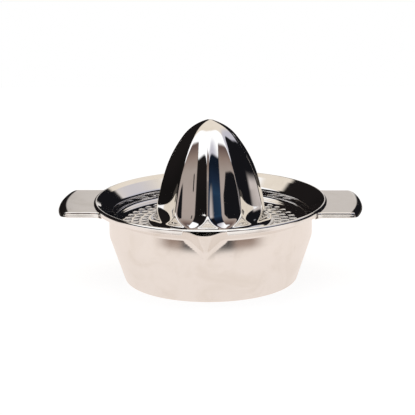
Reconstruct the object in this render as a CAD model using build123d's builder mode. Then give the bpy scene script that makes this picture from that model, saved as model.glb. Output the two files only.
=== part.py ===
"""Two-part hand citrus juicer in pressed stainless steel.

A drawn bowl with a pouring spout stands on its flat base.  A strainer with a brim, a ring of
perforations and a fluted reamer cone drops into the bowl's mouth and lifts straight out of it
by two flat handles welded to its brim.

Millimetres, +Z up.  The origin is the centre of the bowl's base, X runs through the two handles
and -Y is the spout.
"""
import os
from math import atan, atan2, cos, radians, sin, tan

from build123d import *

# ---- bowl ----------------------------------------------------------------------------------
bowl_sheet = 0.8
bowl_base_radius = 55.5          # outside corner between base and tapered wall
bowl_wall_radius = 65.4          # outside of the upright wall
bowl_knee_height = 29.9          # where the taper turns upright
bowl_base_fillet = 2.0
bowl_knee_fillet = 6.0
bowl_rim_bend = 1.6              # radius of the bend from wall to rim
bowl_rim_clearance = 1.7         # from the rim's edge to the strainer's flange round it

# ---- spout ---------------------------------------------------------------------------------
spout_lip_drop = 2.5             # from the top of the brim to the lip
spout_depth = 16.0               # from the lip down to the foot
spout_lip_reach = 17.2           # sharp corner of the V, outside the bowl's wall
spout_foot_reach = 0.6
spout_root_depth = 7.4           # how far inside the wall the V starts
spout_half_angle = 45.0          # of the V, seen from above
spout_lip_round = 6.5
spout_foot_round = 1.6

# ---- strainer ------------------------------------------------------------------------------
strainer_sheet = 0.7
strainer_gap = 0.4               # between the strainer's wall and the bowl's wall
seat_gap = 0.3                   # between the brim and the bowl's rim under it
rim_height = 52.5                # top of the brim
brim_width = 11.5                # from the inside of the wall to the outside of the flange
brim_root_drop = 4.2             # where the brim leaves the wall, under its top
brim_bend_drop = 2.5             # where the brim turns steeper, under its top
brim_steep_width = 4.0           # from that bend to the crest
brim_crest_rise = 0.4            # the sharp crest stands this much over its rounded top
crest_inset = 1.0                # from the crest to the outside of the flange
crest_shoulder = 1.0             # the flange turns upright this far under the top
flange_height = 3.9
brim_root_bend = 1.5
brim_middle_bend = 4.0
crest_bend = 1.1
dish_depth = 14.5                # brim top to dish floor
dish_fillet = 3.0
dish_ledge = 5.6                 # the dish is open under the cone, up to this far inside its skirt
notch_half_width = 13.7          # the flange is cut away over the spout
notch_reach = 2.0                # how far into the brim the cut goes
notch_crest = 0.9                # what stays of the crest there

hole_diameter = 3.0
hole_count = 44                  # in each row
hole_rows = 3
hole_outer_margin = 10.0         # outer row to the strainer's wall
hole_inner_margin = 1.9          # inner row to the foot of the cone

# ---- reamer cone ---------------------------------------------------------------------------
cone_sheet = 0.8
cone_height = 67.0               # tip to dish floor
cone_skirt_radius = 38.6         # where the skirt would meet the dish
cone_skirt_slope = 0.17          # the skirt leans in this much for each millimetre up
cone_foot_width = 2.4            # of the flat foot outside the skirt
cone_foot_fillet = 1.5
flute_count = 10
flute_radius = 26.0              # hollow section of each flute
flute_tip_slope = 15.0           # slope of the flutes at the tip
flute_shoulder_radius = 55.0
flute_shoulder_slope = 56.0      # slope where the shoulder meets the flank
flute_flank_radius = 111.0
flute_flank_slope = 78.4         # slope of the straight run down to the toe
flute_toe_rise = 5.8             # from the dish floor to the middle of the flute's end
flute_toe_round = 11.0
flute_lead_angle = 12.0          # of the shoulder, run on past the tip
blank_spare = 2.0                # height of the uncut blank over the tip

# ---- handles -------------------------------------------------------------------------------
handle_sheet = 0.9
handle_step = 1.5                # the plate lies this far under the top of the brim
handle_length = 22.7             # from the flange to the far end
handle_half_width = 28.4
handle_flange = 3.5
handle_bend = 1.4                # of the free edges, turned down
handle_corner = 6.0
handle_flare = 6.0               # hollow corner where the handle meets the brim

clear_gap = 5.0                  # cutters run this far past the piece that they cut
same_place = 0.01                # closer than this, two places are one

# ---- worked out from the above ---------------------------------------------------------------
strainer_wall_radius = bowl_wall_radius - bowl_sheet - strainer_gap - strainer_sheet
flange_radius = strainer_wall_radius + brim_width
brim_crest_radius = flange_radius - crest_inset
brim_bend_radius = brim_crest_radius - brim_steep_width
bowl_rim_radius = flange_radius - strainer_sheet - bowl_rim_clearance

crest_height = rim_height + brim_crest_rise
brim_bend_height = rim_height - brim_bend_drop
brim_root_height = rim_height - brim_root_drop
dish_floor = rim_height - dish_depth
brim_slope = atan2(brim_bend_height - brim_root_height, brim_bend_radius - strainer_wall_radius)
crest_slope = atan2(crest_height - brim_bend_height, brim_steep_width)

spout_lip_height = rim_height - spout_lip_drop
spout_foot_height = spout_lip_height - spout_depth
spout_lip_corner = bowl_wall_radius + spout_lip_reach
spout_foot_corner = bowl_wall_radius + spout_foot_reach
spout_root = bowl_wall_radius - spout_root_depth

cone_top = dish_floor + cone_height
cone_foot_radius = cone_skirt_radius + cone_foot_width
dish_opening_radius = cone_skirt_radius - dish_ledge
hole_outer_row = strainer_wall_radius - hole_outer_margin
hole_inner_row = cone_foot_radius + hole_inner_margin
flute_toe_height = dish_floor + flute_toe_rise
blank_top = cone_top + blank_spare
clear_height = cone_top + clear_gap    # above everything

handle_top = rim_height - handle_step
handle_reach = flange_radius + handle_length


def brim_under(distance, radius):
    """Height of the inner part of the brim, the given distance under its top face."""
    rise = (radius - brim_bend_radius) * tan(brim_slope)
    return brim_bend_height + rise - distance / cos(brim_slope)


def crest_under(distance, radius):
    """Height of the steep part of the brim, the given distance under its top face."""
    rise = (radius - brim_bend_radius) * tan(crest_slope)
    return brim_bend_height + rise - distance / cos(crest_slope)


def bend_under(distance):
    """The brim's bend, moved the given distance under its top face."""
    middle = (brim_slope + crest_slope) / 2
    half = (crest_slope - brim_slope) / 2
    reach = distance / cos(half)
    return (brim_bend_radius + reach * sin(middle), brim_bend_height - reach * cos(middle))


def bowl_line(depth):
    """The bowl's section from base to rim edge, the given depth into the sheet from inside."""
    inside = bowl_wall_radius - bowl_sheet + depth
    taper = atan2(bowl_wall_radius - bowl_base_radius, bowl_knee_height)
    inset = bowl_sheet - depth
    base_shift = inset * (1 - sin(taper)) / cos(taper)
    knee_shift = inset * tan(taper / 2)
    under = strainer_sheet + seat_gap + depth
    return [
        (0, inset),
        (bowl_base_radius - base_shift, inset),
        (inside, bowl_knee_height + knee_shift),
        (inside, brim_under(under, inside)),
        bend_under(under),
        (bowl_rim_radius, crest_under(under, bowl_rim_radius)),
    ]


def bowl_bends(depth):
    """Bend radii of that section, one for each corner."""
    inset = bowl_sheet - depth
    return [
        bowl_base_fillet - inset,
        bowl_knee_fillet - inset,
        bowl_rim_bend - depth,
        brim_middle_bend + strainer_sheet + seat_gap + depth,
    ]


def spout_section(height, inset):
    """Corner distance and tip radius of the spout's V at a height, its walls moved inwards."""
    share = (height - spout_foot_height) / (spout_lip_height - spout_foot_height)
    corner = spout_foot_corner + share * (spout_lip_corner - spout_foot_corner)
    tip = spout_foot_round + share * (spout_lip_round - spout_foot_round)
    return corner - inset / sin(radians(spout_half_angle)), tip - inset


def spout_solid(inset, top):
    """The spout as a full wedge from its foot up to the given height."""
    with BuildPart() as wedge:
        for height in (spout_foot_height, top):
            corner, tip = spout_section(height, inset)
            half = (corner - spout_root) * tan(radians(spout_half_angle))
            with BuildSketch(Plane.XY.offset(height)):
                with BuildLine():
                    Polyline((half, -spout_root), (-half, -spout_root), (0, -corner), close=True)
                make_face()
                fillet(vertices().sort_by(Axis.Y)[0], radius=tip)
        loft(ruled=True)
    return wedge.part


# ---- bowl ------------------------------------------------------------------------------------
with BuildPart() as bowl:
    with BuildSketch(Plane.XZ):
        with BuildLine():
            outside = FilletPolyline(*bowl_line(bowl_sheet), radius=bowl_bends(bowl_sheet))
            rim_edge = bowl_line(0)[-1]
            Polyline(outside @ 1, rim_edge, (0, rim_edge[1]), (0, 0))
        make_face()
    revolve(axis=Axis.Z)
    add(spout_solid(0, spout_lip_height))
    with BuildSketch(Plane.XZ):
        with BuildLine():
            inside = FilletPolyline(*bowl_line(0), radius=bowl_bends(0))
            Polyline(
                inside @ 1,
                (bowl_rim_radius, clear_height),
                (0, clear_height),
                (0, bowl_sheet),
            )
        make_face()
    revolve(axis=Axis.Z, mode=Mode.SUBTRACT)
    add(spout_solid(bowl_sheet, clear_height), mode=Mode.SUBTRACT)
bowl.part.label = "bowl"

# ---- strainer --------------------------------------------------------------------------------
with BuildPart() as strainer:
    with BuildSketch(Plane.XZ):
        with BuildLine():
            FilletPolyline(
                (dish_opening_radius, dish_floor),
                (strainer_wall_radius, dish_floor),
                (strainer_wall_radius, brim_root_height),
                (brim_bend_radius, brim_bend_height),
                (brim_crest_radius, crest_height),
                (flange_radius, rim_height - crest_shoulder),
                (flange_radius, rim_height - flange_height),
                radius=[dish_fillet, brim_root_bend, brim_middle_bend, crest_bend, crest_bend],
            )
            offset(amount=strainer_sheet, side=Side.RIGHT)
        make_face()
    revolve(axis=Axis.Z)
    row_pitch = (hole_outer_row - hole_inner_row) / (hole_rows - 1)
    for row in range(hole_rows):
        radius = hole_outer_row - row * row_pitch
        first = (row + 1) * 180 / hole_count
        with Locations((0, 0, dish_floor)):
            with PolarLocations(radius, hole_count, start_angle=first):
                Hole(hole_diameter / 2, depth=2 * strainer_sheet)
    notch_top = rim_height - notch_crest
    with BuildSketch(Plane.XY.offset(notch_top)):
        with Locations((0, -flange_radius)):
            Rectangle(2 * notch_half_width, 2 * notch_reach)
    extrude(amount=-2 * flange_height, mode=Mode.SUBTRACT)
strainer.part.label = "strainer"


# ---- reamer cone -----------------------------------------------------------------------------
def flute_cutter(radius, deeper):
    """A round bar along the hollow of one flute, ended by a rounded toe."""
    start_slope = radians(flute_tip_slope - flute_lead_angle)
    tip_x = flute_radius * sin(radians(flute_tip_slope))
    tip_z = cone_top + flute_radius * cos(radians(flute_tip_slope))
    shoulder_x = tip_x - flute_shoulder_radius * sin(radians(flute_tip_slope))
    shoulder_z = tip_z - flute_shoulder_radius * cos(radians(flute_tip_slope))
    start = (
        shoulder_x + flute_shoulder_radius * sin(start_slope),
        shoulder_z + flute_shoulder_radius * cos(start_slope),
    )
    with BuildPart() as cutter:
        with BuildLine(Plane.XZ) as path:
            shoulder = JernArc(
                start=start,
                tangent=(cos(start_slope), -sin(start_slope)),
                radius=flute_shoulder_radius,
                arc_size=-(flute_shoulder_slope - flute_tip_slope + flute_lead_angle),
            )
            flank = JernArc(
                start=shoulder @ 1,
                tangent=shoulder % 1,
                radius=flute_flank_radius,
                arc_size=-(flute_flank_slope - flute_shoulder_slope),
            )
            drop = (flank @ 1).Z - flute_toe_height
            length = drop / sin(radians(flute_flank_slope)) + deeper
            PolarLine(
                start=flank @ 1,
                length=length,
                angle=-flute_flank_slope,
            )
        with BuildSketch(Plane(origin=path.wire() @ 0, z_dir=path.wire() % 0)):
            Circle(radius)
        sweep()
        toe = cutter.edges().filter_by(GeomType.CIRCLE).sort_by(Axis.Z)[0]
        fillet(toe, radius=flute_toe_round + deeper)
    return cutter.part


def cone_sector(inset, foot_height):
    """One flute's share of the cone as a full solid, its faces moved inwards by the inset."""
    base = cone_skirt_radius - inset / cos(atan(cone_skirt_slope))
    top = base - cone_skirt_slope * (blank_top - dish_floor)
    root = base - cone_skirt_slope * foot_height
    share = 360 / flute_count
    side = radians(share / 2)
    first_side = Plane((0, 0, 0), x_dir=(cos(side), -sin(side), 0), z_dir=(-sin(side), -cos(side), 0))
    with BuildPart() as sector:
        with BuildSketch(first_side):
            with BuildLine():
                Polyline(
                    (0, dish_floor),
                    (base, dish_floor),
                    (top, blank_top),
                    (0, blank_top),
                    close=True,
                )
            make_face()
            if foot_height > 0:
                with Locations((cone_foot_radius / 2, dish_floor + foot_height / 2)):
                    Rectangle(cone_foot_radius, foot_height)
                corner = vertices().sort_by_distance((root, dish_floor + foot_height))[0]
                fillet(corner, radius=cone_foot_fillet)
        revolve(axis=Axis.Z, revolution_arc=share)
        add(flute_cutter(flute_radius + inset, inset), mode=Mode.SUBTRACT)
    return sector.part


with BuildPart() as cone_share:
    add(cone_sector(0, cone_sheet))
    add(cone_sector(cone_sheet, 0), mode=Mode.SUBTRACT)

with BuildPart() as reamer_cone:
    with PolarLocations(0, flute_count):
        add(cone_share.part)
reamer_cone.part.label = "reamer_cone"


# ---- handles ---------------------------------------------------------------------------------
def handle_plan(inset):
    """Plan of the right handle, its free edges moved inwards by the inset."""
    half = handle_half_width - inset
    reach = handle_reach - inset
    with BuildSketch() as plan:
        with Locations((reach / 2, 0)):
            Rectangle(reach, 2 * half)
        Circle(reach, mode=Mode.INTERSECT)
        fillet(vertices().group_by(Axis.X)[-1], radius=handle_corner - inset)
        Circle(flange_radius)
        at_side = vertices().filter_by(lambda corner: abs(abs(corner.Y) - half) < same_place)
        hollow = at_side.filter_by(lambda corner: 0 < corner.X < flange_radius)
        fillet(hollow, radius=handle_flare + inset)
        Circle(flange_radius, mode=Mode.SUBTRACT)
    return plan.sketch


def handle_block(inset, height, bend):
    """The handle as a full block with its upper edges bent over."""
    with BuildPart() as block:
        with BuildSketch(Plane.XY.offset(height - handle_flange)):
            add(handle_plan(inset))
        extrude(amount=handle_flange)
        upper = block.faces().sort_by(Axis.Z)[-1].edges()
        at_brim = upper.filter_by(GeomType.CIRCLE).filter_by(
            lambda edge: abs(edge.radius - flange_radius) < same_place
        )
        fillet(ShapeList(set(upper) - set(at_brim)), radius=bend)
    return block.part


with BuildPart() as handle_right:
    add(handle_block(0, handle_top, handle_bend))
    inner = handle_block(handle_sheet, handle_top - handle_sheet, handle_bend - handle_sheet)
    add(inner, mode=Mode.SUBTRACT)
handle_right.part.label = "handle_right"

with BuildPart() as handle_left:
    add(handle_right.part, rotation=(0, 0, 180))
handle_left.part.label = "handle_left"

# ---- files -----------------------------------------------------------------------------------
os.makedirs("parts", exist_ok=True)
for piece in (bowl, strainer, reamer_cone, handle_left, handle_right):
    export_step(piece.part, f"parts/{piece.part.label}.step")
    print(piece.part.label, round(piece.part.volume, 1), piece.part.bounding_box())
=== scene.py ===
"""Looks of a two-part hand citrus juicer in polished stainless steel.

A spouted bowl carries a lift-out strainer: a rolled brim, a perforated dish, a fluted reamer cone
and two flat handles.  Every piece is a smooth mesh worked out from the sizes below, in metres,
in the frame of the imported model: +Z up, X through the handles, -Y towards the spout.
"""

from math import asin, atan2, cos, log, pi, radians, sin, sqrt, tan

import bmesh
import bpy
import numpy as np
from mathutils import Matrix, Vector


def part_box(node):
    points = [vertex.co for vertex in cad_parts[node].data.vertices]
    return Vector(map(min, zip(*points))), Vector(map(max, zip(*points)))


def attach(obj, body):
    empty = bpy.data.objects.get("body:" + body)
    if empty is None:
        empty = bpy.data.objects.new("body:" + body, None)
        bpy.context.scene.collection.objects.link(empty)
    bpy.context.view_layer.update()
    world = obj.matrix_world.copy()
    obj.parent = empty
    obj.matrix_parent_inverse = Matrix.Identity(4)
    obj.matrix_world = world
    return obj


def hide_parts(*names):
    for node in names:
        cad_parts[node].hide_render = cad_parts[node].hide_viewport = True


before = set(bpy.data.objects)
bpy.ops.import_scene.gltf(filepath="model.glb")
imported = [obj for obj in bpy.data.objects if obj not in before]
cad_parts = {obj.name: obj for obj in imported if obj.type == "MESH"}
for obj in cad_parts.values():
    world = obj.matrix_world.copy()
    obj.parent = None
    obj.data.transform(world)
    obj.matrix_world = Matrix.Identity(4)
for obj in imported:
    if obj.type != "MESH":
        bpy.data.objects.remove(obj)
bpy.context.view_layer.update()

mm = 0.001

# ---- sizes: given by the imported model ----
cone_low, cone_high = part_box("reamer_cone")
handle_low, handle_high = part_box("handle_right")

bowl_rim_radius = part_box("bowl")[1].x
flange_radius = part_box("strainer")[1].x
dish_floor = cone_low.z
cone_foot_radius = cone_high.x
cone_top = cone_high.z
handle_reach = handle_high.x
handle_top = handle_high.z
handle_bottom = handle_low.z

# ---- sizes: strainer ----
strainer_sheet = 0.7 * mm
strainer_gap = 0.4 * mm              # between the dish's wall and the bowl
rim_height = dish_floor + 14.5 * mm
dish_wall_foot = flange_radius - 11.5 * mm
dish_wall_top = dish_floor + 6.5 * mm          # upright up to here, and leaning out above
brim_inside = (flange_radius - 4.6 * mm, rim_height - 1.95 * mm)       # radius and height
brim_crest = (flange_radius - 1.0 * mm, rim_height + 0.4 * mm)
flange_shoulder = rim_height - 1.0 * mm
flange_foot = rim_height - 3.9 * mm + strainer_sheet / 2
dish_opening_radius = 33.0 * mm + strainer_sheet / 2
dish_fillet = 2.6 * mm
dish_wall_bend = 3.0 * mm
brim_inside_bend = 1.0 * mm
crest_bend = 1.1 * mm
notch_half_width = 13.7 * mm         # where the flange is cut away over the spout
notch_top = rim_height - 0.9 * mm
notch_corner = 0.9 * mm
notch_margin = 0.15 * mm             # the cut reaches this far inside the flange's sheet

hole_diameter = 3.0 * mm
hole_count = 44
hole_rows = 3
hole_outer_row = flange_radius - 21.5 * mm
hole_row_pitch = (hole_outer_row - cone_foot_radius - 1.9 * mm) / (hole_rows - 1)
hole_lip = 0.28 * mm

# ---- sizes: bowl ----
bowl_sheet = 0.8 * mm
bowl_wall_radius = flange_radius - 9.6 * mm
bowl_base_radius = 55.5 * mm
bowl_knee_height = 29.9 * mm
bowl_base_fillet = 2.0 * mm
bowl_knee_fillet = 6.0 * mm
bowl_flare_bend = 2.5 * mm           # where the wall starts to lean out under the dish's wall
bowl_edge_round = 0.28 * mm          # how far the rim's cut edge stands out in its middle
seat_gap = 0.3 * mm                  # between the brim and the bowl's rim
spout_lip_height = rim_height - 2.5 * mm
spout_foot_height = spout_lip_height - 16.0 * mm
spout_lip_corner = bowl_wall_radius + 17.0 * mm
spout_foot_corner = bowl_wall_radius + 0.6 * mm
spout_lip_round = 6.5 * mm
spout_foot_round = 1.6 * mm
spout_root_blend = 1.6 * mm          # hollow corner beside the spout, at its foot
spout_lip_blend = 3.2 * mm           # and at its lip
spout_side_fade = radians(8)         # the spout's wall has become the bowl's within this
spout_foot_fade = 2.0 * mm
spout_lip_fade = 5.0 * mm            # the rim has sunk to the lip's height within this

# ---- sizes: reamer cone ----
cone_sheet = 0.8 * mm
cone_blank_radius = 35.8 * mm        # of the round wall that the flutes are pressed into
cone_flare = 4.6 * mm                # the wall's hollow sweep out to its foot
flute_count = 10
flute_radius = 26.0 * mm
flute_lead_slope = radians(3.0)      # where the flute's path starts, past the tip
flute_tip_slope = radians(15.0)
flute_shoulder_radius = 55.0 * mm
flute_shoulder_slope = radians(56.0)
flute_flank_radius = 112.0 * mm
flute_flank_slope = radians(79.0)
flute_toe_height = dish_floor + 1.4 * mm
flute_toe_round = 16.0 * mm
ridge_sharpness = 1.6 / mm           # of the blend between two flutes
toe_sharpness = 5.0 / mm             # and between a flute and the wall
tip_sharpness = 6.0 / mm
tip_reach = 3.0 * mm                 # how far from the axis the sharper blend fades
cone_fan_height = 78.0 * mm          # rays fan out over the tip from here, and run level below
cone_section_end = dish_floor + 3.2 * mm       # rays down to here, and one flare all round below

# ---- sizes: handles ----
handle_sheet = 0.9 * mm
handle_half_width = 28.4 * mm
handle_corner = 6.0 * mm
handle_flare = 6.0 * mm
handle_side_roll = (1.3 * mm, 1.3 * mm)        # width and drop of the rolled side edges
handle_tip_roll = (5.2 * mm, 3.35 * mm)        # and of the rolled tip
handle_draft = 0.2 * mm              # the turned-down edge leans out this much to its foot
handle_level_edge = 0.5 * mm         # a level strip keeps the roll's end smooth
handle_straight_rows = 4.0 * mm      # the plate's rows are straight within this of its tip
handle_edge_ease = 0.15 * mm

# ---- fineness of the meshes ----
arc_step = radians(9)
longest_run = 4.0 * mm
bowl_longest_run = 1.2 * mm
support = 0.25 * mm                  # rows this close to a bend keep the straight runs straight
sewing_gap = 0.002 * mm
hole_side_steps = 8
strainer_columns = hole_count * hole_side_steps
bowl_columns = 360
flute_columns = 41


# ---- section lines ----
def unit(vector):
    """The vector made one long."""
    vector = np.asarray(vector, float)
    return vector / np.linalg.norm(vector)


def unit_rows(points):
    """Each row made one long."""
    return points / np.linalg.norm(points, axis=-1, keepdims=True)


def spokes_at(angles):
    """Vectors one long at the given angles."""
    return np.stack([np.cos(angles), np.sin(angles)], axis=-1)


def moved_line(corners, radii, distance):
    """A section line moved to its right by a distance, with the radii of its bends."""
    corners = [np.asarray(corner, float) for corner in corners]
    runs = [unit(after - before) for before, after in zip(corners, corners[1:])]
    rights = [np.array([run[1], -run[0]]) for run in runs]
    moved = [corners[0] + distance * rights[0]]
    bends = []
    for index in range(1, len(corners) - 1):
        half = unit(rights[index - 1] + rights[index])
        moved.append(corners[index] + distance * half / half.dot(rights[index]))
        turn = runs[index - 1][0] * runs[index][1] - runs[index - 1][1] * runs[index][0]
        bends.append(radii[index - 1] + (distance if turn > 0 else -distance))
    moved.append(corners[-1] + distance * rights[-1])
    return moved, bends


def rounded_line(corners, radii, longest=longest_run):
    """Points along a section line whose corners are rounded by arcs."""
    corners = [np.asarray(corner, float) for corner in corners]
    points = []
    start = corners[0]
    for index in range(1, len(corners)):
        corner = corners[index]
        run = unit(corner - corners[index - 1])
        arc = []
        end = corner
        if index < len(corners) - 1:
            next_run = unit(corners[index + 1] - corner)
            turn = atan2(run[0] * next_run[1] - run[1] * next_run[0], run.dot(next_run))
            radius = radii[index - 1]
            end = corner - run * radius * tan(abs(turn) / 2)
            left = np.array([-run[1], run[0]]) * (1 if turn > 0 else -1)
            middle = end + left * radius
            steps = max(3, round(abs(turn) / arc_step))
            turns = atan2(-left[1], -left[0]) + turn * np.arange(1, steps + 1) / steps
            arc = list(middle + radius * spokes_at(turns))
        points += straight_run(start, end, longest)
        points += arc
        start = arc[-1] if arc else end
    return np.array(points)


def straight_run(start, end, longest):
    """Points along a straight run, with one close to each end."""
    length = np.linalg.norm(end - start)
    if length < 3 * support:
        return [start, end]
    pieces = max(1, round((length - 2 * support) / longest))
    shares = [0.0]
    for piece in range(pieces + 1):
        shares.append((support + (length - 2 * support) * piece / pieces) / length)
    shares.append(1.0)
    return [start + (end - start) * share for share in shares]


def sheet_edge(front, back, steps=5):
    """A rounded edge that joins the ends of a sheet's two faces, without its end points."""
    middle = (front + back) / 2
    across = (front - back) / 2
    outward = np.array([across[1], -across[0]])
    return [
        middle + across * cos(pi * step / steps) + outward * sin(pi * step / steps)
        for step in range(1, steps)
    ]


def smooth_step(value):
    """Eases from 0 to 1."""
    value = np.clip(value, 0, 1)
    return value * value * (3 - 2 * value)


def smooth_max(first, second, width):
    """The larger of two values, with a hollow blend of that width where they meet."""
    near = np.clip(width - np.abs(first - second), 0, None) / width
    return np.maximum(first, second) + near * near * width / 4


# ---- meshes ----
def grid_faces(rows, columns, around):
    """Faces between the points of a grid, row by row."""
    last_column = columns if around else columns - 1
    row, column = np.meshgrid(np.arange(rows - 1), np.arange(last_column), indexing="ij")
    after = (column + 1) % columns
    quads = np.stack([
        row * columns + column,
        row * columns + after,
        (row + 1) * columns + after,
        (row + 1) * columns + column,
    ], axis=-1)
    return quads.reshape(-1, 4)


class Patchwork:
    """Grids of points, each a row for each point of a section, that are sewn into one mesh."""

    def __init__(self):
        self.points = []
        self.faces = []
        self.count = 0

    def add(self, points, around=False):
        rows, columns = points.shape[:2]
        self.faces.append(grid_faces(rows, columns, around) + self.count)
        self.points.append(points.reshape(-1, 3))
        self.count += rows * columns

    def mesh(self, name, closed=True):
        data = bpy.data.meshes.new(name)
        points, faces = np.concatenate(self.points), np.concatenate(self.faces)
        data.from_pydata(points.tolist(), [], faces.tolist())
        sew(data, closed)
        return data


def sew(data, closed=True):
    """Merges points that meet, drops faces that vanish and turns a closed mesh's faces out."""
    work = bmesh.new()
    work.from_mesh(data)
    bmesh.ops.remove_doubles(work, verts=work.verts, dist=sewing_gap)
    bmesh.ops.dissolve_degenerate(work, edges=work.edges, dist=sewing_gap)
    if closed:
        bmesh.ops.recalc_face_normals(work, faces=work.faces)
    for face in work.faces:
        face.smooth = True
    work.to_mesh(data)
    work.free()


def turned(line, angles):
    """A section line turned round the axis: one row for each of its points."""
    radius = line[:, 0][:, None]
    return np.stack([
        radius * np.cos(angles),
        radius * np.sin(angles),
        np.broadcast_to(line[:, 1][:, None], (len(line), angles.shape[-1])),
    ], axis=-1)


def even_angles(count):
    """Angles once round, lined up on the spout."""
    return np.arange(count) * 2 * pi / count - pi / 2 - pi


def crowded_angles(count, places, width, extra):
    """The same, but closer together within a width of some places."""
    fine = np.linspace(-pi, pi, 20001)
    density = np.ones_like(fine)
    for place in places:
        density += extra * np.exp(-((fine - place) / width) ** 2)
    total = np.concatenate([[0], np.cumsum((density[1:] + density[:-1]) / 2)])
    total /= total[-1]
    return np.interp(np.arange(count) / count, total, fine) - pi / 2


# ---- strainer: dish, brim and flange ----
def brim_rows():
    """The strainer's section from the perforated ring outwards, round the flange and back."""
    corners = [
        (hole_outer_row + hole_row_pitch / 2, dish_floor),
        (dish_wall_foot, dish_floor),
        (dish_wall_foot, dish_wall_top),
        brim_inside,
        brim_crest,
        (flange_radius, flange_shoulder),
        (flange_radius, flange_foot),
    ]
    radii = [dish_fillet, dish_wall_bend, brim_inside_bend, crest_bend, crest_bend]
    front = rounded_line(corners, radii)
    under, under_radii = moved_line(corners, radii, strainer_sheet)
    back = rounded_line(under, under_radii)
    return np.array([*front, *sheet_edge(front[-1], back[-1]), *back[::-1]])


def strainer_rings(line):
    """Turns the brim's section, its flange cut away over the spout."""
    notch_angle = atan2(notch_half_width, flange_radius)
    even = even_angles(strainer_columns)
    crowded = crowded_angles(
        strainer_columns, [-notch_angle, notch_angle], width=radians(1.3), extra=3.0)
    share = smooth_step((line[:, 0] - line[0, 0]) / (dish_wall_foot - line[0, 0]))[:, None]
    rings = turned(line, even * (1 - share) + crowded * share)
    on_flange = (line[:, 0] > flange_radius - strainer_sheet - notch_margin)[:, None]
    cut = on_flange & (rings[..., 2] < notch_top) & (rings[..., 1] < 0)
    keep = smooth_step((np.abs(rings[..., 0]) - notch_half_width + notch_corner / 2) / notch_corner)
    lowered = notch_top + (rings[..., 2] - notch_top) * keep
    rings[..., 2] = np.where(cut, lowered, rings[..., 2])
    return rings


def hole_rings():
    """Radius and height of each ring round a hole; the cell's own outline has no radius."""
    bore = hole_diameter / 2
    ease = 0.3 * hole_lip
    top = dish_floor
    bottom = dish_floor - strainer_sheet
    return [
        (None, top),
        (bore + hole_lip, top),
        (bore + ease, top - 0.25 * hole_lip),
        (bore, top - hole_lip),
        (bore, bottom + ease),
        (bore + ease, bottom),
        (None, bottom),
    ]


def hole_cell(row_radius, middle_angle):
    """One hole of the dish with the floor round it, from top face to underside."""
    side = hole_side_steps
    ends = side // 2
    corner = radians(54)
    around = np.linspace(-1, 1, side + 1)[:-1]
    across = np.linspace(1, -1, ends + 1)[:-1]
    edge_radius = np.concatenate([np.full(side, 1.0), across, np.full(side, -1.0), -across])
    edge_angle = np.concatenate([around, np.full(ends, 1.0), -around, np.full(ends, -1.0)])
    half_turn = np.concatenate([around * corner, corner + (1 - across) / 2 * (pi - 2 * corner)])
    spokes = spokes_at(middle_angle + np.concatenate([half_turn, pi + half_turn]))
    radius = row_radius + edge_radius * hole_row_pitch / 2
    outline = radius[:, None] * spokes_at(middle_angle + edge_angle * pi / hole_count)
    middle = row_radius * spokes_at(middle_angle)
    points = []
    for ring_radius, height in hole_rings():
        flat = outline if ring_radius is None else middle + ring_radius * spokes
        points.append(np.column_stack([flat, np.full(len(flat), height)]))
    return np.array(points)


def hole_sector():
    """One hole of every row, staggered: the share of the dish that is repeated round it."""
    sector = Patchwork()
    for row in range(hole_rows):
        stagger = (row + 1) * pi / hole_count
        sector.add(hole_cell(hole_outer_row - row * hole_row_pitch, stagger), around=True)
    return sector.mesh("hole_sector", closed=False)


def opening_rows():
    """The dish's floor inside the perforated ring, round the opening's edge and back under."""
    ring_inside = np.array([hole_outer_row - (hole_rows - 0.5) * hole_row_pitch, dish_floor])
    front = straight_run(ring_inside, np.array([dish_opening_radius, dish_floor]), longest_run)
    back = [point - np.array([0, strainer_sheet]) for point in front]
    edge = sheet_edge(back[-1], front[-1])
    return np.array([*front, *edge[::-1], *back[::-1]])


# ---- objects and nodes ----
def new_object(name, data):
    """A new object in the scene."""
    made = bpy.data.objects.new(name, data)
    bpy.context.scene.collection.objects.link(made)
    return made


def wired(tree, kind, links, **settings):
    """A node with its settings made and its inputs linked or set."""
    node = tree.nodes.new(kind)
    for name, value in settings.items():
        setattr(node, name, value)
    for name, value in links.items():
        socket = node.inputs[name]
        if isinstance(value, bpy.types.NodeSocket):
            tree.links.new(value, socket)
        else:
            socket.default_value = value
    return node


def maths(tree, operation, *values):
    """The output of a node that works a number out of sockets or plain numbers."""
    return wired(tree, "ShaderNodeMath", dict(enumerate(values)), operation=operation).outputs[0]


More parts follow.
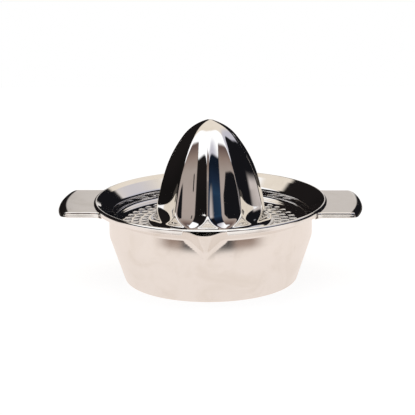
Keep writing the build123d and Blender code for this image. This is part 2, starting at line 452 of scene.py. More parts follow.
# ---- what repeats round the axis ----
def polar_pattern():
    """Geometry nodes that repeat a sector round the axis and sew the copies together."""
    tree = bpy.data.node_groups.new("polar_pattern", "GeometryNodeTree")
    socket = tree.interface.new_socket
    socket("Sector", in_out="INPUT", socket_type="NodeSocketGeometry")
    socket("Count", in_out="INPUT", socket_type="NodeSocketInt").min_value = 1
    socket("Sewing Gap", in_out="INPUT", socket_type="NodeSocketFloat")
    socket("Finish", in_out="INPUT", socket_type="NodeSocketMaterial")
    socket("Ring", in_out="OUTPUT", socket_type="NodeSocketGeometry")
    given = tree.nodes.new("NodeGroupInput").outputs
    centre = wired(tree, "GeometryNodePoints", {"Count": given["Count"]})
    index = wired(tree, "GeometryNodeInputIndex", {})
    share = maths(tree, "DIVIDE", 2 * pi, given["Count"])
    angle = maths(tree, "MULTIPLY", index.outputs[0], share)
    spin = wired(tree, "ShaderNodeCombineXYZ", {"Z": angle})
    copies = wired(tree, "GeometryNodeInstanceOnPoints", {
        "Points": centre.outputs[0], "Instance": given["Sector"], "Rotation": spin.outputs[0]})
    real = wired(tree, "GeometryNodeRealizeInstances", {"Geometry": copies.outputs[0]})
    sewn = wired(tree, "GeometryNodeMergeByDistance", {
        "Geometry": real.outputs[0], "Distance": given["Sewing Gap"]})
    finished = wired(tree, "GeometryNodeSetMaterial", {
        "Geometry": sewn.outputs[0], "Material": given["Finish"]})
    wired(tree, "NodeGroupOutput", {"Ring": finished.outputs[0]})
    return tree


def repeated_round(tree, sector, count, finish):
    """The plain mesh that the polar pattern makes of a sector."""
    carrier = new_object(sector.name, sector)
    pattern = carrier.modifiers.new("polar_pattern", "NODES")
    pattern.node_group = tree
    values = {"Count": count, "Sewing Gap": sewing_gap, "Finish": finish}
    for item in tree.interface.items_tree:
        if item.name in values and item.in_out == "INPUT":
            pattern[item.identifier] = values[item.name]
    view = bpy.context.evaluated_depsgraph_get()
    made = bpy.data.meshes.new_from_object(carrier.evaluated_get(view), depsgraph=view)
    carrier.modifiers.remove(pattern)
    bpy.data.objects.remove(carrier)
    return made


def mesh_parts(data):
    """A mesh's points as an array, and its faces as lists."""
    points = np.array([vertex.co for vertex in data.vertices])
    faces = [list(face.vertices) for face in data.polygons]
    return points, faces


# ---- reamer cone ----
def tip_allowance():
    """What the rounding takes off the tip, where all flutes meet."""
    return log(flute_count) / tip_sharpness


shoulder_middle = (
    (flute_radius - flute_shoulder_radius) * sin(flute_tip_slope),
    cone_top + tip_allowance() + (flute_radius - flute_shoulder_radius) * cos(flute_tip_slope),
)
flank_middle = (
    shoulder_middle[0] - (flute_flank_radius - flute_shoulder_radius) * sin(flute_shoulder_slope),
    shoulder_middle[1] - (flute_flank_radius - flute_shoulder_radius) * cos(flute_shoulder_slope),
)


def flute_depth(radius, side, height):
    """How deep a point lies in the round hollow of the flute at angle 0, negative in the steel."""
    out = radius * np.cos(side)
    across = radius * np.sin(side)
    from_shoulder = np.hypot(out - shoulder_middle[0], height - shoulder_middle[1])
    shoulder_slope = np.arctan2(out - shoulder_middle[0], height - shoulder_middle[1])
    from_flank = np.hypot(out - flank_middle[0], height - flank_middle[1])
    flank_slope = np.arctan2(out - flank_middle[0], height - flank_middle[1])
    down = np.array([cos(flute_flank_slope), -sin(flute_flank_slope)])
    end_out = flank_middle[0] + flute_flank_radius * sin(flute_flank_slope)
    end_height = flank_middle[1] + flute_flank_radius * cos(flute_flank_slope)
    along = (out - end_out) * down[0] + (height - end_height) * down[1]
    beside = (out - end_out) * down[1] - (height - end_height) * down[0]
    length = (end_height - flute_toe_height) / sin(flute_flank_slope)
    lead = (out - shoulder_middle[0]) * sin(flute_lead_slope)
    lead = lead + (height - shoulder_middle[1]) * cos(flute_lead_slope)
    from_shoulder = np.where(shoulder_slope < flute_lead_slope, lead, from_shoulder)
    on_shoulder = shoulder_slope < flute_shoulder_slope
    on_flank = flank_slope < flute_flank_slope
    apart = np.where(on_shoulder, from_shoulder - flute_shoulder_radius,
                     np.where(on_flank, from_flank - flute_flank_radius, beside))
    to_end = np.where(on_shoulder | on_flank, flute_flank_radius, length - along)
    wide = np.hypot(apart, across) - (flute_radius - flute_toe_round)
    deep = flute_toe_round - to_end
    outside = np.hypot(np.maximum(wide, 0), np.maximum(deep, 0))
    return flute_toe_round - outside - np.minimum(np.maximum(wide, deep), 0)


def wall_depth(radius, height):
    """How far a point lies outside the round wall and its flared foot, negative in the steel."""
    flare_height = dish_floor + cone_sheet + cone_flare
    below = np.minimum(height - flare_height, 0)
    from_flare = np.hypot(radius - cone_blank_radius - cone_flare, below)
    return np.where(below < 0, cone_flare - from_flare, radius - cone_blank_radius)


def soft_highest(fields, sharpness):
    """The highest of several fields, with a rounded blend where they meet."""
    highest = fields.max(axis=0)
    return highest + np.log(np.exp(sharpness * (fields - highest)).sum(axis=0)) / sharpness


def cone_depth(radius, side, height):
    """How far a point lies outside the fluted cone, negative in the steel."""
    flutes = np.array([
        flute_depth(radius, side - flute * 2 * pi / flute_count, height) for flute in range(flute_count)
    ])
    near_tip = 1 / (1 + (radius / tip_reach) ** 2)
    sharpness = ridge_sharpness + (tip_sharpness - ridge_sharpness) * near_tip
    fluted = soft_highest(flutes, sharpness)
    return soft_highest(np.array([fluted, wall_depth(radius, height)]), toe_sharpness)


def cone_surface(sides, starts, directions, inset):
    """Where rays from the axis leave the cone: one row for each ray, found by halving."""
    halvings = 40
    outside_all = 70.0 * mm
    side = np.broadcast_to(sides, (len(starts), len(sides)))
    near = np.zeros(side.shape)
    far = np.full(side.shape, outside_all)
    for _ in range(halvings):
        middle = (near + far) / 2
        radius = middle * directions[:, 0][:, None]
        height = starts[:, None] + middle * directions[:, 1][:, None]
        inside = cone_depth(radius, side, height) + inset < 0
        near = np.where(inside, middle, near)
        far = np.where(inside, far, middle)
    radius = near * directions[:, 0][:, None]
    height = starts[:, None] + near * directions[:, 1][:, None]
    return np.stack([radius * np.cos(side), radius * np.sin(side), height], axis=-1)


def cone_rays(fan_rows, side_rows):
    """Start heights and directions of the rays: a fan over the tip, then level rays down."""
    fan = np.linspace(pi / 2, 0, fan_rows)
    levels = np.linspace(cone_fan_height, cone_section_end, side_rows + 1)[1:]
    starts = np.concatenate([np.full(fan_rows, cone_fan_height), levels])
    directions = np.concatenate([spokes_at(fan), np.tile([1.0, 0.0], (side_rows, 1))])
    return starts, directions


def foot_rows():
    """The section of the flare below the flutes, with the flat foot outside it."""
    middle = np.array([cone_blank_radius + cone_flare, dish_floor + cone_sheet + cone_flare])
    top = dish_floor + cone_sheet
    drop = middle[1] - cone_section_end
    front = []
    for turn in np.linspace(asin(drop / cone_flare), pi / 2, 8)[1:]:
        front.append(middle - cone_flare * spokes_at(turn))
    edge_top = np.array([cone_foot_radius - cone_sheet / 2, top])
    edge_bottom = np.array([edge_top[0], dish_floor])
    back = []
    inner = cone_flare + cone_sheet
    for turn in np.linspace(pi / 2, asin(drop / inner), 5):
        back.append(middle - inner * spokes_at(turn))
    return np.array([*front, edge_top, *sheet_edge(edge_top, edge_bottom), edge_bottom, *back])


def flute_sector():
    """One flute from ridge to ridge, outside and inside: the share of the cone that is repeated."""
    steps = np.linspace(-1, 1, flute_columns)
    closer_at_ridges = 1.5 * steps - 0.5 * steps ** 3
    sides = pi / flute_count * closer_at_ridges
    outside = cone_surface(sides, *cone_rays(fan_rows=52, side_rows=58), inset=0.0)
    inside = cone_surface(sides, *cone_rays(fan_rows=20, side_rows=22), inset=cone_sheet)
    foot = turned(foot_rows(), sides)
    sector = Patchwork()
    sector.add(np.concatenate([outside, foot, inside[::-1]]))
    return sector.mesh("flute_sector", closed=False)


# ---- bowl ----
def bowl_section(depth):
    """The bowl's section from base to rim edge, the given depth into the sheet from inside."""
    brim_radius, brim_height = brim_inside
    wall_lean = (brim_radius - dish_wall_foot) / (brim_height - dish_wall_top)
    brim_slope = (brim_crest[1] - brim_height) / (brim_crest[0] - brim_radius)
    inset = bowl_sheet - depth
    inside = bowl_wall_radius - inset
    taper = atan2(bowl_wall_radius - bowl_base_radius, bowl_knee_height)
    beside_dish = dish_wall_foot + (strainer_sheet + strainer_gap + depth) * sqrt(1 + wall_lean ** 2)
    below_brim = (strainer_sheet + seat_gap + depth) * sqrt(1 + brim_slope ** 2)
    flare_start = dish_wall_top - (beside_dish - inside) / wall_lean
    rim_at_axis = brim_height - brim_radius * brim_slope - below_brim
    flare_end = beside_dish + (rim_at_axis - dish_wall_top) * wall_lean
    flare_end = flare_end / (1 - brim_slope * wall_lean)
    corners = [
        (0, inset),
        (bowl_base_radius - inset * (1 - sin(taper)) / cos(taper), inset),
        (inside, bowl_knee_height + inset * tan(taper / 2)),
        (inside, flare_start),
        (flare_end, rim_at_axis + flare_end * brim_slope),
        (bowl_rim_radius, rim_at_axis + bowl_rim_radius * brim_slope),
    ]
    radii = [
        bowl_base_fillet - inset,
        bowl_knee_fillet - inset,
        bowl_flare_bend - depth,
        brim_inside_bend,
    ]
    return rounded_line(corners, radii, bowl_longest_run)


def spout_share(height):
    """How far up the spout a height is, 0 at its foot and 1 at its lip."""
    return (height - spout_foot_height) / (spout_lip_height - spout_foot_height)


def spout_reach(angle, height, inset):
    """Distance from the axis to the spout's wall, at an angle from its middle."""
    share = spout_share(height)
    corner = spout_foot_corner + share * (spout_lip_corner - spout_foot_corner) - inset * sqrt(2)
    tip = spout_foot_round + np.maximum(share, 0) * (spout_lip_round - spout_foot_round) - inset
    middle = corner - tip * sqrt(2)
    straight = corner / (np.cos(angle) + np.abs(np.sin(angle)))
    across = np.clip(tip ** 2 - (middle * np.sin(angle)) ** 2, 0, None)
    rounded = middle * np.cos(angle) + np.sqrt(across)
    on_tip = np.abs(straight * np.sin(angle)) < tip * sin(pi / 4)
    return np.where(on_tip, rounded, straight)


def bowl_rings(depth, angles):
    """One face of the bowl with its spout, a row for each point of its section."""
    line = bowl_section(depth)
    radius, height = np.broadcast_arrays(line[:, 0][:, None], line[:, 1][:, None])
    from_spout = angles + pi / 2
    rise = np.clip(spout_share(height), 0, 1) ** 1.5
    blend = spout_root_blend + rise * (spout_lip_blend - spout_root_blend)
    reach = spout_reach(np.clip(from_spout, -pi / 3, pi / 3), height, bowl_sheet - depth)
    spread = smooth_max(radius, reach, blend)
    fade = smooth_step((pi / 4 - np.abs(from_spout)) / spout_side_fade)
    fade = fade * smooth_step((height - spout_foot_height + spout_foot_fade) / spout_foot_fade)
    wide = radius + (spread - radius) * fade
    over = smooth_step((wide - radius) / spout_lip_fade)
    drop = over * np.clip(height - spout_lip_height, 0, None)
    return np.stack([wide * np.cos(angles), wide * np.sin(angles), height - drop], axis=-1)


def bowl_mesh():
    """The bowl as one closed sheet: outside, rim edge and inside."""
    angles = crowded_angles(bowl_columns, [0.0], width=radians(14), extra=4.5)
    outside = bowl_rings(bowl_sheet, angles)
    inside = bowl_rings(0.0, angles)
    between = (outside[-1] + inside[-1]) / 2
    edge = between + bowl_edge_round * unit_rows(between * np.array([1, 1, 0]))
    shell = Patchwork()
    shell.add(np.concatenate([outside, [edge], inside[::-1]]), around=True)
    return shell.mesh("bowl_shell")


# ---- handles ----
def arc_points(middle, radius, start, end, steps):
    """Points and outward normals along an arc seen from above."""
    spokes = spokes_at(np.linspace(start, end, steps + 1))
    return np.asarray(middle) + radius * spokes, spokes


def handle_outline():
    """The free edge of the right handle from the brim to the tip's middle, with its normals."""
    flare_y = handle_half_width + handle_flare
    flare_x = sqrt((flange_radius + handle_flare) ** 2 - flare_y ** 2)
    at_brim = atan2(flare_y, flare_x)
    flare, flare_out = arc_points((flare_x, flare_y), handle_flare, at_brim + pi, 1.5 * pi, 8)
    corner_y = handle_half_width - handle_corner
    corner_x = sqrt((handle_reach - handle_corner) ** 2 - corner_y ** 2)
    at_corner = atan2(corner_y, corner_x)
    corner, corner_out = arc_points((corner_x, corner_y), handle_corner, pi / 2, at_corner, 12)
    tip, tip_out = arc_points((0, 0), handle_reach, at_corner, 0.0, 16)
    side_x = np.linspace(flare_x, corner_x, 9)[1:-1]
    side = np.column_stack([side_x, np.full(len(side_x), handle_half_width)])
    side_out = np.tile([0.0, 1.0], (len(side_x), 1))
    points = np.concatenate([flare, side, corner, tip[1:]])
    outward = np.concatenate([-flare_out, side_out, corner_out, tip_out[1:]])
    at_end = np.concatenate([np.zeros(len(flare) + len(side)), np.ones(len(corner) + len(tip) - 1)])
    return points, outward, outward[:, 0] * at_end


def handle_face():
    """The upper face of the right handle: the turned-down edge, its roll and the flat plate."""
    points, outward, endward = handle_outline()
    widening = np.column_stack([endward * (handle_tip_roll[0] - handle_side_roll[0]), 0 * endward])
    roll = outward * handle_side_roll[0] + widening
    drop = handle_side_roll[1] + endward * (handle_tip_roll[1] - handle_side_roll[1])
    upright = handle_top - drop - handle_bottom
    draft = outward * handle_draft
    loops = []
    for share in np.linspace(0, 1, 5)[:-1]:
        loops.append((draft * share, handle_bottom + share * upright))
    for turn in np.linspace(0, pi / 2, 13):
        inset = draft + (roll - draft) * (1 - cos(turn))
        loops.append((inset, handle_top - drop * (1 - sin(turn))))
    loops.append((roll + outward * handle_level_edge, np.full(len(points), handle_top)))
    edge = []
    for inset, height in loops:
        flat = points - inset
        both = np.concatenate([flat, flat[-2::-1] * np.array([1, -1])])
        edge.append(np.column_stack([both, np.concatenate([height, height[-2::-1]])]))
    face = Patchwork()
    face.add(np.array(edge))
    face.add(flat_plate(edge[-1]))
    return face.mesh("handle_face", closed=False)


def flat_plate(rim):
    """The level plate inside its rim, in rows that follow the brim at its root and straighten."""
    half = (len(rim) + 1) // 2
    brim_x, brim_y, _ = rim[0]
    straight_x = rim[half - 1][0] - handle_straight_rows
    across = np.linspace(1, -1, 25)
    bulge = np.sqrt(flange_radius ** 2 - (across * brim_y) ** 2)
    bulge = bulge - sqrt(flange_radius ** 2 - brim_y ** 2)
    rows = []
    for x, y, _ in rim[:half]:
        share = np.clip((straight_x - x) / (straight_x - brim_x), 0, 1)
        rows.append(np.column_stack([
            x + bulge * share, across * y, np.full(len(across), handle_top)]))
    return np.array(rows)


# ---- materials ----
def shader_group(name, inputs, outputs):
    """An empty shader group with float inputs and outputs, and its nodes for input and output."""
    tree = bpy.data.node_groups.new(name, "ShaderNodeTree")
    for label, value in inputs.items():
        socket = tree.interface.new_socket(label, in_out="INPUT", socket_type="NodeSocketFloat")
        socket.default_value = value
    for label in outputs:
        tree.interface.new_socket(label, in_out="OUTPUT", socket_type="NodeSocketFloat")
    return tree, tree.nodes.new("NodeGroupInput"), tree.nodes.new("NodeGroupOutput")


def colour_mix(tree, factor, first, second):
    """The output of a node that mixes two colours, each given as a socket or as numbers."""
    node = tree.nodes.new("ShaderNodeMix")
    node.data_type = "RGBA"
    tree.links.new(factor, node.inputs[0])
    for socket, value in ((node.inputs[6], first), (node.inputs[7], second)):
        if isinstance(value, bpy.types.NodeSocket):
            tree.links.new(value, socket)
        else:
            socket.default_value = (*value, 1.0)
    return node.outputs[2]


def stepped(tree, value, start, end):
    """A mask that eases from 0 at start to 1 at end; the ends may come in either order."""
    ease = wired(tree, "ShaderNodeMapRange", {
        "Value": value, "From Min": start, "From Max": end}, interpolation_type="SMOOTHSTEP")
    return ease.outputs[0]


def split_place(tree, coordinates):
    """X, Y and Z of the shaded point, or of the direction looked in, as sockets."""
    place = wired(tree, "ShaderNodeTexCoord", {})
    split = wired(tree, "ShaderNodeSeparateXYZ", {"Vector": place.outputs[coordinates]})
    return split.outputs["X"], split.outputs["Y"], split.outputs["Z"]


def axis_distance(tree, x, y):
    """How far a point lies from the upright axis."""
    flat = wired(tree, "ShaderNodeCombineXYZ", {"X": x, "Y": y}).outputs[0]
    return wired(tree, "ShaderNodeVectorMath", {0: flat}, operation="LENGTH").outputs["Value"]


def noise(tree, place, scale, detail, roughness=0.5, distortion=0.0):
    """A noise pattern over a place."""
    node = wired(tree, "ShaderNodeTexNoise", {
        "Vector": place, "Scale": scale, "Detail": detail,
        "Roughness": roughness, "Distortion": distortion})
    return node.outputs[0]


def node_material(name):
    """A new material, its tree and its shader's inputs."""
    material = bpy.data.materials.new(name)
    material.use_nodes = True
    tree = material.node_tree
    return material, tree, tree.nodes["Principled BSDF"].inputs


def spun_polish():
    """Fine lathe lines and broad bands round the axis, which follow radius and level."""
    tree, given, result = shader_group("spun_polish", {"Fineness": 900.0}, ["Lines", "Bands"])
    x, y, z = split_place(tree, "Object")
    drift = maths(tree, "MULTIPLY", maths(tree, "ARCTAN2", y, x), 0.002)
    along = wired(tree, "ShaderNodeCombineXYZ", {
        "X": axis_distance(tree, x, y), "Y": z, "Z": drift}).outputs[0]
    band_scale = maths(tree, "MULTIPLY", given.outputs["Fineness"], 0.15)
    lines = noise(tree, along, given.outputs["Fineness"], 3.0)
    bands = noise(tree, along, band_scale, 2.0)
    tree.links.new(lines, result.inputs["Lines"])
    tree.links.new(bands, result.inputs["Bands"])
    return tree


def handling_marks():
    """Soft smears of handling, and a few hairline scratches."""
    tree, given, result = shader_group("handling_marks", {"Smear Size": 45.0}, ["Smears", "Hairlines"])
    place = wired(tree, "ShaderNodeTexCoord", {}).outputs["Object"]
    smears = noise(tree, place, given.outputs["Smear Size"], 4.0, roughness=0.6, distortion=0.8)
    stretched = wired(tree, "ShaderNodeMapping", {
        "Vector": place, "Rotation": (0.3, 0.5, 0.7), "Scale": (1.0, 26.0, 26.0)}).outputs[0]
    hairlines = noise(tree, stretched, 60.0, 2.0, roughness=0.4)
    tree.links.new(stepped(tree, smears, 0.42, 0.72), result.inputs["Smears"])
    tree.links.new(stepped(tree, hairlines, 0.66, 0.72), result.inputs["Hairlines"])
    return tree


def pressing_waves():
    """The slow unevenness that pressing leaves in sheet."""
    tree, given, result = shader_group("pressing_waves", {"Waves": 38.0}, ["Height"])
    place = wired(tree, "ShaderNodeTexCoord", {}).outputs["Object"]
    tree.links.new(noise(tree, place, given.outputs["Waves"], 1.0), result.inputs["Height"])
    return tree


def steel(name, effects, tint, gloss, smear, fineness, line_depth, wave_depth):
    """Polished stainless steel: tint, roughness clean and smeared, lathe lines and unevenness."""
    material, tree, shader = node_material(name)
    shader["Metallic"].default_value = 1.0
    hairline_roughness = 0.06
    polish, marks, waves = effects
    spun = wired(tree, "ShaderNodeGroup", {"Fineness": fineness}, node_tree=polish)
    handled = wired(tree, "ShaderNodeGroup", {}, node_tree=marks)
    uneven = wired(tree, "ShaderNodeGroup", {}, node_tree=waves)
    smeared_tint = np.array(tint) * np.array([0.95, 0.94, 0.92])
    colour = colour_mix(tree, handled.outputs["Smears"], tint, smeared_tint)
    tree.links.new(colour, shader["Base Color"])
    smeared = maths(tree, "MULTIPLY_ADD", handled.outputs["Smears"], smear, gloss)
    scratched = maths(tree, "MULTIPLY_ADD", handled.outputs["Hairlines"], hairline_roughness, smeared)
    banded = maths(tree, "MULTIPLY_ADD", spun.outputs["Bands"], gloss, scratched)
    tree.links.new(banded, shader["Roughness"])
    fine = wired(tree, "ShaderNodeBump", {
        "Height": spun.outputs["Lines"], "Distance": line_depth, "Strength": 1.0})
    slow = wired(tree, "ShaderNodeBump", {
        "Height": uneven.outputs["Height"], "Distance": wave_depth, "Strength": 1.0,
        "Normal": fine.outputs[0]})
    tree.links.new(slow.outputs[0], shader["Normal"])
    return material


def bowl_steel(effects):
    """The bowl's finish, with its pressing waves almost polished out."""
    return steel("bowl_steel", effects, (0.90, 0.88, 0.86), gloss=0.05, smear=0.06,
                 fineness=900.0, line_depth=0.0004 * mm, wave_depth=0.008 * mm)


def strainer_steel(effects):
    """The finish of the dish and its brim."""
    return steel("strainer_steel", effects, (0.91, 0.90, 0.89), gloss=0.03, smear=0.05,
                 fineness=1100.0, line_depth=0.0003 * mm, wave_depth=0.015 * mm)


def reamer_steel(effects):
    """The cone's finish, the brightest of all."""
    return steel("reamer_steel", effects, (0.92, 0.91, 0.90), gloss=0.02, smear=0.04,
                 fineness=1300.0, line_depth=0.0002 * mm, wave_depth=0.015 * mm)


def handle_steel(effects):
    """The handles' finish, dulled a little by hands."""
    return steel("handle_steel", effects, (0.88, 0.86, 0.84), gloss=0.05, smear=0.06,
                 fineness=800.0, line_depth=0.0003 * mm, wave_depth=0.02 * mm)


# ---- pieces ----
def placed(name, data, finish, body, node):
    """A finished mesh as a piece that rides on its body and stands for its node."""
    piece = new_object(name, data)
    data.materials.clear()
    data.materials.append(finish)
    data.polygons.foreach_set("material_index", np.zeros(len(data.polygons), int))
    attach(piece, body)
    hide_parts(node)
    return piece


def bowl_shell(finish):
    """The spouted bowl."""
    placed("bowl_shell", bowl_mesh(), finish, "bowl", "bowl")


def joined_strainer(tree, finish):
    """The perforated ring sewn to the dish's floor and to the brim."""
    ring_points, ring_faces = mesh_parts(repeated_round(tree, hole_sector(), hole_count, finish))
    rest = Patchwork()
    rest.add(strainer_rings(brim_rows()), around=True)
    rest.add(turned(opening_rows(), even_angles(strainer_columns)), around=True)
    points = np.concatenate([*rest.points, ring_points])
    faces = np.concatenate(rest.faces).tolist()
    faces += [[corner + rest.count for corner in face] for face in ring_faces]
    data = bpy.data.meshes.new("strainer_dish")
    data.from_pydata(points.tolist(), [], faces)
    sew(data)
    return data


def strainer_dish(tree, finish):
    """The perforated dish with its brim and flange."""
    data = joined_strainer(tree, finish)
    placed("strainer_dish", data, finish, "strainer", "strainer")


def reamer(tree, finish):
    """The fluted cone."""
    data = repeated_round(tree, flute_sector(), flute_count, finish)
    data.name = "reamer"
    sew(data)
    placed("reamer", data, finish, "strainer", "reamer_cone")


def handle_plate(name, half_turn, finish, node):
    """A handle: the pressed face given its sheet's thickness, with its cut edges eased."""
    data = handle_face()
    if half_turn:
        data.transform(Matrix.Rotation(pi, 4, "Z"))
    sew(data)
    piece = placed(name, data, finish, "strainer", node)
    if sum(face.normal.z for face in data.polygons) < 0:
        data.flip_normals()
    wall = piece.modifiers.new("sheet", "SOLIDIFY")
    wall.thickness = handle_sheet
    wall.offset = -1.0
    wall.use_even_offset = False
    eased = piece.modifiers.new("eased_edges", "BEVEL")
    eased.width = handle_edge_ease
    eased.segments = 2
    eased.limit_method = "ANGLE"
    eased.angle_limit = radians(50)


# ---- camera ----
def set_camera():
    """The camera, in front of the spout, a little to the right and above."""
    azimuth = radians(2.87)
    elevation = radians(15.76)
    roll = radians(0.65)
    distance = 1.3
    target = Vector((0, 0, rim_height - 19.5 * mm))
    aim_up = 13.1 * mm
    aim_left = 2.03 * mm
    back = Vector((sin(azimuth) * cos(elevation), -cos(azimuth) * cos(elevation), sin(elevation)))
    right = Vector((cos(azimuth), sin(azimuth), 0))
    up = back.cross(right)
    right, up = right * cos(roll) - up * sin(roll), right * sin(roll) + up * cos(roll)
    place = target + back * distance
    aim = target + up * aim_up - right * aim_left
    back = (place - aim).normalized()
    right = (right - back * right.dot(back)).normalized()
    up = back.cross(right)
    data = bpy.data.cameras.new("camera")
    data.sensor_width = 36.0
    data.lens = 174.3
    data.clip_start = 0.05
    data.clip_end = 20.0
    camera = new_object("camera", data)
    turn = Matrix((right, up, back)).transposed().to_4x4()
    camera.matrix_world = Matrix.Translation(place) @ turn
    bpy.context.scene.camera = camera


# ---- studio ----
card_black = (0.008, 0.008, 0.010)


def masked(tree, *masks):
    """The product of several masks."""
    result = masks[0]
    for mask in masks[1:]:
        result = maths(tree, "MULTIPLY", result, mask)
    return result


def degrees_step(tree, angle, start, end):
    """A mask that eases from 0 to 1 between two angles, given in degrees."""
    return stepped(tree, angle, radians(start), radians(end))


def bearings(tree, x, y):
    """The angle round the axis from the front, positive to the right, and its size."""
    bearing = maths(tree, "ARCTAN2", x, maths(tree, "MULTIPLY", y, -1.0))
    return bearing, maths(tree, "ABSOLUTE", bearing)


def level_ramp(tree, level, stops):
    """A colour that follows the height above the horizon, 0 level and 1 overhead."""
    ramp = wired(tree, "ShaderNodeValToRGB", {"Fac": level})
    bar = ramp.color_ramp
    for position, _ in stops[2:]:
        bar.elements.new(position)
    for element, (position, _) in zip(bar.elements, stops):
        element.position = position
    for element, (_, colour) in zip(bar.elements, stops):
        element.color = (*colour, 1)
    return ramp.outputs[0]


def warm_room(tree, level, bearing):
    """The room in front of the table: a warm wall, darker upwards, with a stand and a bench."""
    wall = level_ramp(tree, level, [
        (0.0, (0.44, 0.37, 0.34)), (0.45, (0.40, 0.34, 0.31)),
        (0.62, (0.28, 0.21, 0.18)), (0.74, (0.14, 0.095, 0.085))])
    stand = masked(
        tree, degrees_step(tree, bearing, -39.5, -38.5), degrees_step(tree, bearing, -35.5, -36.5),
        stepped(tree, level, 0.14, 0.18), stepped(tree, level, 0.42, 0.38))
    slanted = maths(tree, "MULTIPLY_ADD", level, 0.55, bearing)
    bench = masked(
        tree, degrees_step(tree, bearing, -9, -7), stepped(tree, slanted, 0.62, 0.58),
        stepped(tree, level, -0.10, -0.05), stepped(tree, level, 0.47, 0.43))
    wall = colour_mix(tree, stand, wall, (0.012, 0.012, 0.014))
    return colour_mix(tree, bench, wall, card_black)


def side_cards(tree, level, bearing, on_right):
    """Black cards at both sides: the right one is navy in front and has a pale sill."""
    navy = level_ramp(tree, level, [
        (0.0, (0.010, 0.018, 0.035)), (0.12, (0.018, 0.045, 0.09)),
        (0.30, (0.012, 0.022, 0.045)), (0.5, (0.006, 0.010, 0.020))])
    right = colour_mix(tree, degrees_step(tree, bearing, 62, 66), navy, card_black)
    sill = masked(
        tree, degrees_step(tree, bearing, 60, 70), degrees_step(tree, bearing, 96, 84),
        stepped(tree, level, -0.04, 0.06), stepped(tree, level, 0.26, 0.10))
    right = colour_mix(tree, sill, right, (0.60, 0.54, 0.52))
    left = level_ramp(tree, level, [(0.0, (0.008, 0.007, 0.007)), (0.3, (0.012, 0.010, 0.010))])
    return colour_mix(tree, on_right, left, right)


def card_tops(tree, y, on_right, in_front):
    """The level, as a grey, at which the cards or the room end and the soft box begins."""
    right = colour_mix(tree, stepped(tree, y, -0.1, 0.35), (0.62, 0.62, 0.62), (0.50, 0.50, 0.50))
    left = colour_mix(tree, stepped(tree, y, 0.12, 0.22), (0.57, 0.57, 0.57), (0.70, 0.70, 0.70))
    beside = colour_mix(tree, on_right, left, right)
    return colour_mix(tree, in_front, beside, (0.78, 0.78, 0.78))


def soft_box(tree, x, y):
    """The light overhead: white in front, cream towards the back and dimmer on the right."""
    box = colour_mix(tree, stepped(tree, y, 0.04, 0.14), (1.15, 1.16, 1.18), (0.85, 0.77, 0.67))
    return colour_mix(tree, stepped(tree, x, 0.40, 0.65), box, (0.56, 0.55, 0.62))


def set_studio():
    """The soft box overhead, cards at both sides, a room in front and a pale backdrop behind."""
    world = bpy.data.worlds.new("studio")
    bpy.context.scene.world = world
    world.use_nodes = True
    tree = world.node_tree
    x, y, level = split_place(tree, "Generated")
    bearing, aside = bearings(tree, x, y)
    on_right = stepped(tree, bearing, -0.1, 0.1)
    in_front = masked(
        tree, degrees_step(tree, bearing, -47, -44), degrees_step(tree, bearing, 40, 37))
    backdrop = level_ramp(tree, level, [(0.0, (0.85, 0.82, 0.80)), (0.25, (0.62, 0.58, 0.55))])
    cards = side_cards(tree, level, bearing, on_right)
    lower = colour_mix(tree, degrees_step(tree, aside, 170.5, 173.5), cards, backdrop)
    lower = colour_mix(tree, in_front, lower, warm_room(tree, level, bearing))
    above = maths(tree, "SUBTRACT", level, card_tops(tree, y, on_right, in_front))
    around = colour_mix(tree, stepped(tree, above, -0.025, 0.025), lower, soft_box(tree, x, y))
    seen = wired(tree, "ShaderNodeLightPath", {})
    shown = colour_mix(tree, seen.outputs["Is Camera Ray"], around, (1, 1, 1))
    background = tree.nodes["Background"]
    tree.links.new(shown, background.inputs["Color"])
    background.inputs["Strength"].default_value = 1.0


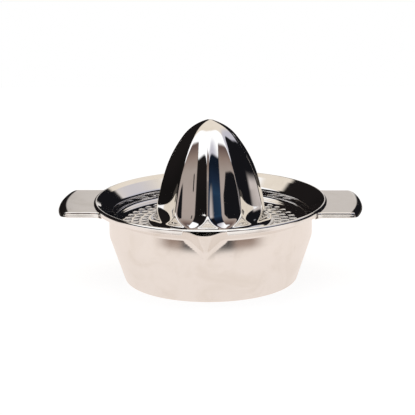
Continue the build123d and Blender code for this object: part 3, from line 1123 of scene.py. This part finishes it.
def painted_table_reflections(tree, warm):
    """The table as the steel shows it, in painted reflections: a dark strip in front, white farther
    off, black beside.
    """
    x, y, _ = split_place(tree, "Object")
    away = axis_distance(tree, x, y)
    bearing, aside = bearings(tree, x, y)
    # painted reflection: a dark strip on the table, in near black and brown, that only the steel sees
    strip = masked(
        tree, stepped(tree, away, 0.178, 0.200), stepped(tree, away, 0.250, 0.238),
        degrees_step(tree, bearing, -56, -34), degrees_step(tree, bearing, 62, 40))
    dark = colour_mix(
        tree, degrees_step(tree, aside, 19, 30), (0.012, 0.014, 0.018), (0.26, 0.18, 0.145))
    table = colour_mix(tree, strip, warm, dark)
    # painted reflection: a white patch farther off, that only the steel sees
    far = masked(tree, stepped(tree, away, 0.243, 0.252), degrees_step(tree, aside, 80, 65))
    table = colour_mix(tree, far, table, (0.95, 0.92, 0.89))
    # painted reflection: a black patch beside, that only the steel sees
    beside = masked(
        tree, stepped(tree, away, 0.235, 0.250),
        degrees_step(tree, aside, 75, 88), degrees_step(tree, aside, 168, 160))
    return colour_mix(tree, beside, table, (0.010, 0.009, 0.009))


def table_finish():
    """A warm, pale table top that glows white to the camera, and glows to the steel with painted
    reflections in patches.
    """
    material, tree, shader = node_material("table_top")
    shader["Roughness"].default_value = 0.8
    shader["Specular IOR Level"].default_value = 0.1
    grain = wired(tree, "ShaderNodeTexNoise", {"Scale": 6.0, "Detail": 2.0}).outputs[0]
    warm = colour_mix(tree, grain, (0.85, 0.765, 0.71), (0.88, 0.795, 0.745))
    seen = wired(tree, "ShaderNodeLightPath", {})
    in_steel = seen.outputs["Is Glossy Ray"]
    by_camera = seen.outputs["Is Camera Ray"]
    base = colour_mix(tree, in_steel, warm, (0.08, 0.07, 0.06))
    base = colour_mix(tree, by_camera, base, (0.28, 0.28, 0.28))
    # painted reflection: to glossy rays the table glows warm with the painted patches, in place of its
    # own lit colour and shade
    glow = colour_mix(tree, in_steel, (0.0, 0.0, 0.0), painted_table_reflections(tree, warm))
    glow = colour_mix(tree, by_camera, glow, (0.88, 0.88, 0.88))
    tree.links.new(base, shader["Base Color"])
    tree.links.new(glow, shader["Emission Color"])
    shader["Emission Strength"].default_value = 1.0
    return material


def set_floor():
    """The table top, just under the bowl's base."""
    half = 0.6
    corners = [(-half, -half, 0), (half, -half, 0), (half, half, 0), (-half, half, 0)]
    data = bpy.data.meshes.new("table_top")
    data.from_pydata(corners, [], [(0, 1, 2, 3)])
    data.materials.append(table_finish())
    table = new_object("table_top", data)
    table.location.z = -0.05 * mm


# ---- the juicer ----
set_camera()
set_studio()
set_floor()

effects = (spun_polish(), handling_marks(), pressing_waves())
pattern = polar_pattern()
handle_finish = handle_steel(effects)

bowl_shell(bowl_steel(effects))
strainer_dish(pattern, strainer_steel(effects))
reamer(pattern, reamer_steel(effects))
handle_plate("handle_plate_right", False, handle_finish, "handle_right")
handle_plate("handle_plate_left", True, handle_finish, "handle_left")

bpy.context.scene.view_settings.view_transform = "Standard"
